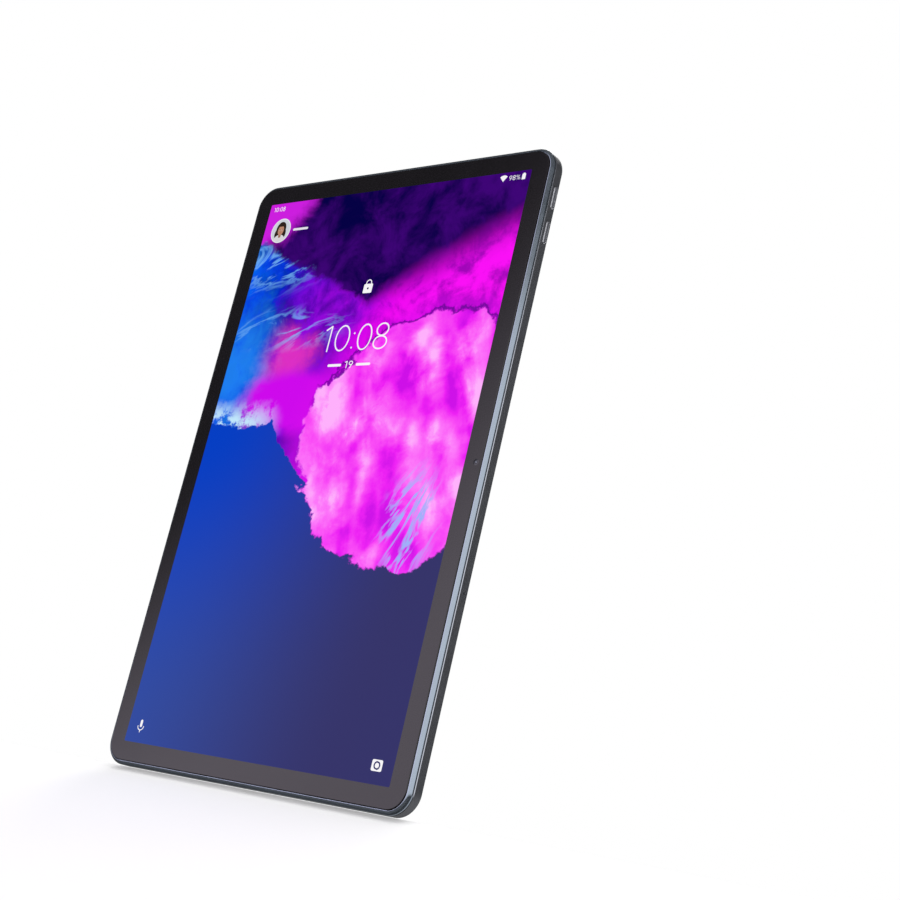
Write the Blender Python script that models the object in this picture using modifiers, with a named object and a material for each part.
"""Tablet computer of the 11-inch class, built as separate named pieces.

Row frame: origin at the bottom centre of the body, +Z up along the long sides,
+X to the right when the screen is looked at, and the screen faces -Y.
Sizes below are in millimetres; store() turns every mesh into metres.
"""
import math

import bmesh
import bpy
from mathutils import Matrix, Vector

# ---- driving dimensions, mm -------------------------------------------------
BODY_W = 163.0          # X, over the side walls
BODY_H = 258.4          # Z, over the short sides
BODY_T = 7.5            # Y, glass face to back face
CORNER_R = 9.5          # body corner seen from the front
EDGE_R = 1.3            # rounding from side wall to back face
WALL = 1.0              # rear covers, all round
DISPLAY_W = 143.8       # lit area
DISPLAY_H = 239.6
GLASS_INSET = 1.6       # body edge to glass edge
GLASS_T = 0.7
RIM_R = 1.1             # rounding of the frame beside the glass
SEAM_X = 31.5           # joint between the two rear covers
SEAM_GAP = 0.3
PORT_Y = 1.15           # mid-line of everything let into the side walls
CAMERA_XZ = (66.6, 243.35)
FLASH_XZ = (66.6, 231.3)
CAMERA_R = 6.95         # foot of the camera ring
CAMERA_RISE = 1.55
FRONT_CAMERA_XZ = (77.35, 129.2)
KEY_H = 2.0             # side keys, along Y
KEY_PROUD = 0.4
KEY_GAP = 0.15          # all round a key in its hole
KEY_ROOM = 0.35         # key nub to switch dome
VOLUME_L = 9.4
VOLUME_UP_Z = 238.0
VOLUME_DOWN_Z = 223.4
POWER_L = 12.2
POWER_X = 63.4
GRILLE_X = 44.4
GRILLE_HOLES = 7
GRILLE_PITCH = 2.22
HOLE_L = 1.5
HOLE_H = 1.1
MIC_Z = 81.3
USB_Y = 1.05
TRAY_Z = 36.0
TRAY_L = 14.2

HALF_W = BODY_W / 2
MID_Z = BODY_H / 2
FRONT_Y = -BODY_T / 2
BACK_Y = BODY_T / 2
GLASS_BACK = FRONT_Y + GLASS_T
LEDGE_Y = GLASS_BACK + 0.25         # what the glass is glued down on
FRAME_FRONT = FRONT_Y + 0.33
FRAME_BACK = -1.5                   # rear edge of the visible rim
COVER_FRONT = -1.25                 # front edge of the rear covers
COVER_FLOOR = BACK_Y - WALL
FLANGE_TOP = -WALL - 0.25           # key parts, along the key from the wall's face
FLANGE_BASE = FLANGE_TOP - 0.45
NUB_BASE = FLANGE_BASE - 0.4
DOME_TOP = NUB_BASE - KEY_ROOM
SWITCH_BASE = DOME_TOP - 1.0
MM = 0.001

ALONG_Y = (-math.pi / 2, 0.0, 0.0)      # turns a turned piece's local +Z to +Y

# ---- material presets: colour, metallic, roughness --------------------------
PRESETS = {
    "glass": ((0.02, 0.02, 0.024), 0.0, 0.05),
    "screen": ((0.05, 0.06, 0.2), 0.0, 0.2),
    "frame": ((0.10, 0.11, 0.13), 0.0, 0.18),
    "metal": ((0.33, 0.34, 0.37), 0.9, 0.35),
    "matte": ((0.20, 0.21, 0.23), 0.3, 0.55),
    "ring": ((0.45, 0.46, 0.5), 1.0, 0.22),
    "black": ((0.02, 0.02, 0.02), 0.0, 0.5),
    "flash": ((0.85, 0.8, 0.55), 0.0, 0.3),
    "board": ((0.02, 0.12, 0.06), 0.0, 0.45),
    "flex": ((0.28, 0.13, 0.03), 0.0, 0.5),
    "shield": ((0.6, 0.6, 0.62), 1.0, 0.35),
    "cell": ((0.12, 0.12, 0.13), 0.2, 0.5),
    "gold": ((0.8, 0.6, 0.25), 1.0, 0.3),
    "steel": ((0.62, 0.62, 0.64), 1.0, 0.3),
    "foil": ((0.07, 0.07, 0.08), 0.2, 0.6),
}


# ---- tools ------------------------------------------------------------------
def material(name, preset):
    """One Principled material per piece, from a preset."""
    colour, metallic, roughness = PRESETS[preset]
    mat = bpy.data.materials.new(name)
    mat.use_nodes = True
    shader = mat.node_tree.nodes["Principled BSDF"]
    shader.inputs["Base Color"].default_value = (*colour, 1.0)
    shader.inputs["Metallic"].default_value = metallic
    shader.inputs["Roughness"].default_value = roughness
    mat.diffuse_color = (*colour, 1.0)
    return mat


def collection(name):
    """A collection linked to the scene."""
    made = bpy.data.collections.new(name)
    bpy.context.scene.collection.children.link(made)
    return made


def store(name, bm, preset, at=(0, 0, 0), turn=(0, 0, 0)):
    """A bmesh in mm becomes an object in metres; with no preset it is a cutter."""
    bmesh.ops.scale(bm, vec=(MM, MM, MM), verts=bm.verts)
    mesh = bpy.data.meshes.new(name)
    bm.to_mesh(mesh)
    bm.free()
    obj = bpy.data.objects.new(name, mesh)
    obj.location = Vector(at) * MM
    obj.rotation_euler = turn
    if preset is None:
        cutters.objects.link(obj)
        obj.hide_render = True
        obj.display_type = "WIRE"
    else:
        parts.objects.link(obj)
        mesh.materials.append(material(name, preset))
    return obj


def block(size, at=(0, 0, 0), r=0.0, seg=4, axis=1, rims=()):
    """Box with its four edges along axis rounded by r, then whole end faces.

    rims lists (end, width, segments); end is +1 or -1 along the axis.
    """
    bm = bmesh.new()
    bmesh.ops.create_cube(bm, size=1.0)
    bmesh.ops.scale(bm, vec=size, verts=bm.verts)
    if r > 0:
        limit = 0.49 * min(s for i, s in enumerate(size) if i != axis)
        along = [e for e in bm.edges if abs((e.verts[0].co - e.verts[1].co)[axis]) > 1e-6]
        bmesh.ops.bevel(
            bm, geom=along, offset=min(r, limit), segments=seg, profile=0.5, affect="EDGES")
    for end, width, count in rims:
        face = end * size[axis] / 2
        rim = [e for e in bm.edges if all(abs(v.co[axis] - face) < 1e-5 for v in e.verts)]
        bmesh.ops.bevel(bm, geom=rim, offset=width, segments=count, profile=0.5, affect="EDGES")
    bmesh.ops.translate(bm, vec=at, verts=bm.verts)
    return bm


def rod(r, length, at=(0, 0, 0), axis=1, seg=16):
    """Cylinder along an axis."""
    bm = bmesh.new()
    bmesh.ops.create_cone(
        bm, cap_ends=True, segments=seg, radius1=r, radius2=r, depth=length)
    if axis == 0:
        bmesh.ops.rotate(bm, matrix=Matrix.Rotation(math.pi / 2, 3, "Y"), verts=bm.verts)
    if axis == 1:
        bmesh.ops.rotate(bm, matrix=Matrix.Rotation(-math.pi / 2, 3, "X"), verts=bm.verts)
    bmesh.ops.translate(bm, vec=at, verts=bm.verts)
    return bm


def gathered(shapes):
    """Several bmeshes as one, for a cutter of separate bodies."""
    whole = bmesh.new()
    for shape in shapes:
        mesh = bpy.data.meshes.new("shape")
        shape.to_mesh(mesh)
        shape.free()
        whole.from_mesh(mesh)
        bpy.data.meshes.remove(mesh)
    return whole


def turned(name, profile, at, preset, steps=32, ring=False, turn=ALONG_Y):
    """Profile of (radius, height) points spun by a Screw modifier.

    It runs down the outer side from the top; ring closes it clear of the axis.
    """
    bm = bmesh.new()
    points = [bm.verts.new((r, 0.0, h)) for r, h in profile]
    for a, b in zip(points, points[1:]):
        bm.edges.new((a, b))
    if ring:
        bm.edges.new((points[-1], points[0]))
    obj = store(name, bm, preset, at, turn)
    spin = obj.modifiers.new("spin", "SCREW")
    spin.axis = "Z"
    spin.steps = steps
    spin.render_steps = steps
    spin.use_merge_vertices = True
    spin.merge_threshold = 0.000001
    spin.use_smooth_shade = False
    return obj


def combine(obj, operation, *tools):
    """Exact Booleans, kept as modifiers."""
    for tool in tools:
        mod = obj.modifiers.new(tool.name, "BOOLEAN")
        mod.operation = operation
        mod.solver = "EXACT"
        mod.object = tool


def slab(name, x, y, z, preset, r=0.0, seg=2, rims=()):
    """Box between three (low, high) pairs, placed by its centre."""
    spans = (x, y, z)
    size = [high - low for low, high in spans]
    centre = [(high + low) / 2 for low, high in spans]
    return store(name, block(size, r=r, seg=seg, rims=rims), preset, centre)


def plate(name, inset, y, preset, rims=(), r=None):
    """Slab with the body's own outline pulled in by inset."""
    radius = CORNER_R - inset if r is None else r
    x = (inset - HALF_W, HALF_W - inset)
    return slab(name, x, y, (inset, BODY_H - inset), preset, radius, 7, rims)


def centred(name, width, height, y, preset=None, r=0.8):
    """Slab centred on the display."""
    z = (MID_Z - height / 2, MID_Z + height / 2)
    return slab(name, (-width / 2, width / 2), y, z, preset, r, 2)


# ---- front ------------------------------------------------------------------
def build_front():
    """Glass, gasket, display stack and mid frame."""
    plate("cover_glass", GLASS_INSET, (FRONT_Y, GLASS_BACK), "glass", rims=[(-1, 0.35, 2)])

    gasket = plate("glass_gasket", 1.75, (GLASS_BACK + 0.03, LEDGE_Y - 0.03), "black")
    window = centred("gasket_window", DISPLAY_W + 5.2, DISPLAY_H + 6.2, (-5, 0))
    x, z = FRONT_CAMERA_XZ
    eye = store("gasket_eye", rod(1.6, 6, (x, -2, z)), None)
    combine(gasket, "DIFFERENCE", window, eye)

    centred("lcd_panel", DISPLAY_W + 2.2, DISPLAY_H + 3.4, (GLASS_BACK + 0.05, GLASS_BACK + 0.75), "screen")
    centred("backlight_unit", DISPLAY_W + 2.8, DISPLAY_H + 4.2, (-2.25, -1.45), "shield")

    frame = plate("mid_frame", 0.0, (FRAME_FRONT, FRAME_BACK), "frame", rims=[(-1, RIM_R, 4)])
    tray = plate("frame_tray", 1.5, (FRAME_BACK - 0.5, -0.95), None)
    well = plate("glass_well", GLASS_INSET - 0.15, (-6, LEDGE_Y), None)
    pocket = centred("display_pocket", DISPLAY_W + 4.0, DISPLAY_H + 5.2, (-6, -1.35))
    slot = slab("flex_slot", (-21, 21), (-5, 0), (249.2, 251.2), None)
    seat = slab("front_camera_slot", (x - 2.5, x + 2.35), (-5, 0), (z - 2.6, z + 2.6), None)
    combine(frame, "UNION", tray)
    combine(frame, "DIFFERENCE", well, pocket, slot, seat)

    flex = slab("display_flex", (-19, 19), (-0.82, -0.70), (234.0, 250.5), "flex")
    riser = slab("display_flex_riser", (-19, 19), (-1.40, -0.76), (250.3, 250.5), None)
    combine(flex, "UNION", riser)


def build_front_camera():
    """Front camera in the right border, looking out through the gasket."""
    x, z = FRONT_CAMERA_XZ
    module = slab(
        "front_camera_module", (x - 2.2, x + 2.0), (LEDGE_Y + 0.1, 0.6), (z - 2.2, z + 2.2), "black", 0.4)
    combine(module, "DIFFERENCE", store("front_camera_bore", rod(1.35, 4, (x, -3.5, z), seg=20), None))
    profile = [(0.0, -1.7), (1.15, -1.7), (1.15, -2.1), (0.9, -2.35), (0.5, -2.5), (0.0, -2.55)]
    turned("front_camera_lens", profile, (x, 0, z), "glass", 20)


# ---- rear covers ------------------------------------------------------------
def cover(name, preset, split, holes):
    """One rear cover: the solidified outer skin, split at the seam, then cut."""
    size = (BODY_W, BACK_Y - COVER_FRONT, BODY_H)
    skin = block(size, r=CORNER_R, seg=7, rims=[(1, EDGE_R, 4)])
    front = [f for f in skin.faces if f.normal.y < -0.99]
    bmesh.ops.delete(skin, geom=front, context="FACES")
    obj = store(name, skin, preset, (0, (BACK_Y + COVER_FRONT) / 2, MID_Z))
    shell = obj.modifiers.new("shell", "SOLIDIFY")
    shell.thickness = WALL * MM
    shell.offset = -1.0
    shell.use_even_offset = True
    apart = slab(name + "_split", split, (-10, 10), (-10, BODY_H + 10), None)
    combine(obj, "DIFFERENCE", apart, store(name + "_holes", gathered(holes), None))


def grille(x, z):
    """A row of short slots through a short side wall."""
    first = x - (GRILLE_HOLES - 1) / 2 * GRILLE_PITCH
    slots = []
    for i in range(GRILLE_HOLES):
        at = (first + i * GRILLE_PITCH, PORT_Y, z)
        slots.append(block((HOLE_L, HOLE_H, 4), at, HOLE_H / 2, 3, axis=2))
    return slots


def build_covers():
    """Both rear covers and the strip that backs their joint."""
    usb = block((9.5, 3.24, 4), (0, USB_Y, 0), 1.6, 5, axis=2)
    tray = block((4, KEY_H + 0.3, TRAY_L + 0.3), (-HALF_W, PORT_Y, TRAY_Z), 1.0, 4, axis=0)
    holes = grille(-GRILLE_X, BODY_H) + grille(-GRILLE_X, 0.0) + [usb, tray]
    cover("rear_cover_main", "metal", (SEAM_X - SEAM_GAP / 2, 100), holes)

    holes = grille(GRILLE_X, BODY_H) + grille(GRILLE_X, 0.0)
    h = KEY_H + 2 * KEY_GAP
    for z in (VOLUME_UP_Z, VOLUME_DOWN_Z):
        holes.append(block((4, h, VOLUME_L + 2 * KEY_GAP), (HALF_W, PORT_Y, z), h / 2, 4, axis=0))
    holes.append(block((POWER_L + 2 * KEY_GAP, h, 4), (POWER_X, PORT_Y, BODY_H), h / 2, 4, axis=2))
    holes.append(rod(0.45, 4, (HALF_W, PORT_Y, MIC_Z), axis=0, seg=12))
    holes.append(rod(5.85, 4, (CAMERA_XZ[0], BACK_Y, CAMERA_XZ[1]), seg=36))
    holes.append(rod(2.3, 4, (FLASH_XZ[0], BACK_Y, FLASH_XZ[1]), seg=20))
    cover("rear_cover_upper", "matte", (-100, SEAM_X + SEAM_GAP / 2), holes)

    y = (COVER_FLOOR - 0.3, COVER_FLOOR - 0.1)
    slab("seam_strip", (SEAM_X - 5, SEAM_X + 5), y, (3, BODY_H - 3), "black")


# ---- rear camera and flash --------------------------------------------------
def build_camera():
    """Ring, window, module, and the focusing barrel with its lens."""
    x, z = CAMERA_XZ
    top = BACK_Y + CAMERA_RISE
    inner = 4.9
    ring = [
        (5.28, top), (5.62, top), (5.84, top - 0.15), (5.95, top - 0.4), (CAMERA_R - 0.1, BACK_Y + 0.35),
        (CAMERA_R, BACK_Y + 0.12), (5.6, BACK_Y + 0.12), (5.6, 2.45), (inner, 2.45), (inner, top - 0.75),
        (5.2, top - 0.75), (5.2, top - 0.08),
    ]
    turned("camera_ring", ring, (x, 0, z), "ring", 36, ring=True)
    window = [(0, top - 0.12), (4.98, top - 0.12), (5.08, top - 0.22), (5.08, top - 0.7), (0, top - 0.7)]
    turned("camera_window", window, (x, 0, z), "glass", 36)

    module = slab("camera_module", (x - 4.8, x + 4.8), (-0.7, 2.3), (z - 4.8, z + 4.8), "black", 0.5)
    bore = store("module_bore", rod(3.65, 4, (x, 1.9, z), seg=32), None)
    combine(module, "DIFFERENCE", bore)
    barrel = [(0, 1.9), (3.1, 1.9), (3.3, 1.7), (3.3, -1.8), (0, -1.8)]
    barrel = turned("camera_barrel", barrel, (x, 2.0, z), "black", 32)
    combine(barrel, "DIFFERENCE", store("barrel_recess", rod(1.75, 3, (x, 4.7, z), seg=24), None))
    lens = [(0, 1.82), (0.7, 1.78), (1.2, 1.66), (1.5, 1.48), (1.5, 1.25), (0, 1.25)]
    turned("camera_lens", lens, (x, 2.0, z), "glass", 24)
    slab("camera_flex", (x - 3, x + 3), (-0.45, -0.3), (222.0, z - 5.1), "flex")


def build_flash():
    """Flash window flush with the back, with its light source behind."""
    x, z = FLASH_XZ
    window = [(0, BACK_Y - 0.05), (1.95, BACK_Y - 0.05), (2.1, BACK_Y - 0.2), (2.1, 2.75), (0, 2.75)]
    turned("flash_window", window, (x, 0, z), "flash", 20)
    slab("flash_led", (x - 1.2, x + 1.2), (1.8, 2.5), (z - 1.2, z + 1.2), "flash")


# ---- side keys --------------------------------------------------------------
def facing(axis, along, across, deep, height):
    """Size and place of a block whose own outward direction is +X (0) or +Z (2)."""
    if axis == 0:
        return (deep, across, along), (height, 0, 0)
    return (along, across, deep), (0, 0, height)


def key(name, length, at, axis):
    """Side key: proud cap, flange behind the wall, switch nub."""
    low, high = FLANGE_TOP - 0.2, KEY_PROUD
    size, place = facing(axis, length, KEY_H, high - low, (low + high) / 2)
    cap = block(size, place, 0.45 * KEY_H, 4, axis, [(1, 0.22, 2)])
    obj = store(name, cap, "matte", at)
    mid = (FLANGE_TOP + FLANGE_BASE) / 2
    size, place = facing(axis, length + 1.2, KEY_H + 0.8, FLANGE_TOP - FLANGE_BASE, mid)
    flange = block(size, place, 1.1, 2, axis)
    size, place = facing(axis, 2.4, 1.4, 0.7, NUB_BASE + 0.35)
    nub = block(size, place, 0.6, 2, axis)
    combine(obj, "UNION", store(name + "_flange", flange, None, at), store(name + "_nub", nub, None, at))


def switch(name, at, axis):
    """Dome switch under a key."""
    size, place = facing(axis, 3.4, 2.0, 0.65, SWITCH_BASE + 0.325)
    obj = store(name, block(size, place, 0.3, 2, axis), "steel", at)
    place = facing(axis, 0, 0, 0, DOME_TOP - 0.3)[1]
    dome = rod(0.7, 0.6, place, axis=axis, seg=12)
    combine(obj, "UNION", store(name + "_dome", dome, None, at))


def build_keys():
    """Volume keys on the long side, power key on the top, and their switches."""
    for name, z in (("volume_up", VOLUME_UP_Z), ("volume_down", VOLUME_DOWN_Z)):
        at = (HALF_W, PORT_Y, z)
        key(name + "_button", VOLUME_L, at, 0)
        switch(name + "_switch", at, 0)
    at = (POWER_X, PORT_Y, BODY_H)
    key("power_button", POWER_L, at, 2)
    switch("power_switch", at, 2)
    x = HALF_W + SWITCH_BASE
    slab("side_key_flex", (x - 0.3, x - 0.1), (0.2, 2.1), (218.5, 243.0), "flex")


# ---- boards, battery, sound -------------------------------------------------
def screw(name, x, z, seat_y, shank):
    """Pan-head screw seated on a board, head towards the back."""
    y = seat_y + 0.06
    profile = [(0, 0.55), (1.3, 0.55), (1.6, 0.35), (1.6, 0.0), (0.7, 0.0), (0.7, -shank), (0, -shank)]
    turned(name, profile, (x, y, z), "steel", 12)


def board(name, x, y, z, screws, shank):
    """Circuit board with its screws, one hole each."""
    obj = slab(name, x, y, z, "board", 1.5)
    holes = [rod(1.0, 4, (sx, sum(y) / 2, sz), seg=12) for sx, sz in screws]
    combine(obj, "DIFFERENCE", store(name + "_holes", gathered(holes), None))
    for number, (sx, sz) in enumerate(screws, start=1):
        screw("%s_screw_%d" % (name, number), sx, sz, y[1], shank)


def build_electronics():
    """Boards, shields, chips, battery, flexes, antenna and microphone."""
    corners = [(x, z) for x in (-69.0, 56.0) for z in (199.5, 227.5)]
    board("main_board", (-72.5, 59.5), (-0.2, 0.6), (196.0, 231.0), corners, 1.2)
    slab("cpu_shield", (-40, -6), (0.7, 2.3), (200, 228), "shield", 1.0)
    slab("radio_shield", (16, 42), (0.7, 2.1), (201, 226), "shield", 1.0)
    slab("memory_chip", (-2.5, 11.5), (0.7, 1.65), (206, 218), "black")
    slab("power_chip", (-58, -48), (0.7, 1.55), (208, 218), "black")
    slab("graphite_sheet", (-70, 24), (2.45, 2.55), (202.5, 224.5), "foil", 2.0)
    board("sub_board", (-29, 29), (-0.8, -0.55), (8.5, 25.0), [(-25.0, 21.0), (25.0, 21.0)], 0.35)
    slab("board_link_flex", (68.5, 73.5), (-0.45, -0.3), (18.0, 198.0), "flex")
    slab("battery_cell_left", (-66.0, -0.8), (-0.75, 2.3), (52.0, 184.0), "cell", 1.5)
    slab("battery_cell_right", (0.8, 66.0), (-0.75, 2.3), (52.0, 184.0), "cell", 1.5)
    slab("battery_board", (-32, 32), (-0.4, 0.4), (186.0, 192.5), "board", 0.6)
    slab("wifi_antenna", (41, 74), (2.45, 2.57), (26.0, 48.0), "gold", 1.0)
    slab("side_microphone", (77.4, 80.1), (0.1, 2.2), (MIC_Z - 1.6, MIC_Z + 1.6), "shield", 0.2)


def build_sound():
    """Four loudspeakers with dust meshes behind their grilles."""
    rows = (("top", (242.0, 256.2), (256.5, 256.8)), ("bottom", (2.2, 16.4), (1.6, 1.9)))
    for row, body, dust in rows:
        for side, x in (("left", -GRILLE_X), ("right", GRILLE_X)):
            slab("speaker_%s_%s" % (row, side), (x - 11.5, x + 11.5), (-0.6, 2.3), body, "black", 1.2)
            slab("mesh_%s_%s" % (row, side), (x - 8.2, x + 8.2), (0.1, 2.2), dust, "foil")


# ---- port and card tray -----------------------------------------------------
def build_port():
    """USB-C receptacle: metal shell and the tongue inside it."""
    shell = block((8.94, 3.0, 7.6), r=1.5, seg=5, axis=2)
    shell = store("usb_c_shell", shell, "steel", (0, USB_Y, 4.2))
    bore = block((8.34, 2.4, 12), r=1.2, seg=5, axis=2)
    combine(shell, "DIFFERENCE", store("usb_bore", bore, None, (0, USB_Y, 4.2)))
    base = block((8.14, 2.2, 1.4), r=1.1, seg=4, axis=2)
    base = store("usb_c_tongue", base, "black", (0, USB_Y, 7.1))
    blade = block((6.7, 0.7, 5.4), r=0.15, seg=2, axis=2)
    combine(base, "UNION", store("usb_blade", blade, None, (0, USB_Y, 4.0)))


def build_tray():
    """Memory card tray that pulls out of the left side, and its reader cage."""
    at = (-HALF_W, PORT_Y, TRAY_Z)
    head = block((1.1, KEY_H, TRAY_L), (0.6, 0, 0), 0.85, 4, axis=0)
    obj = store("card_tray", head, "metal", at)
    tongue = block((16.2, 0.9, 12.6), (8.9, -0.1, 0), 0.2, 1, axis=0)
    pocket = block((14.0, 3.0, 11.2), (9.2, 1.5, 0), 0.0)
    pin = rod(0.4, 1.6, (0.0, 0, 5.6), axis=0, seg=12)
    combine(obj, "UNION", store("tray_tongue", tongue, None, at))
    combine(obj, "DIFFERENCE", store("card_pocket", gathered([pocket, pin]), None, at))

    cage = block((17.0, 1.9, 14.4), r=0.2, seg=1, axis=0)
    cage = store("card_reader", cage, "steel", (10.5 - HALF_W, PORT_Y - 0.1, TRAY_Z))
    tunnel = block((20.0, 1.5, 13.6), r=0.2, seg=1, axis=0)
    tunnel = store("reader_tunnel", tunnel, None, (8.7 - HALF_W, PORT_Y - 0.1, TRAY_Z))
    combine(cage, "DIFFERENCE", tunnel)


for old in list(bpy.data.objects):
    bpy.data.objects.remove(old, do_unlink=True)
parts = collection("tablet")
cutters = collection("cutters")
build_front()
build_front_camera()
build_covers()
build_camera()
build_flash()
build_keys()
build_electronics()
build_sound()
build_port()
build_tray()
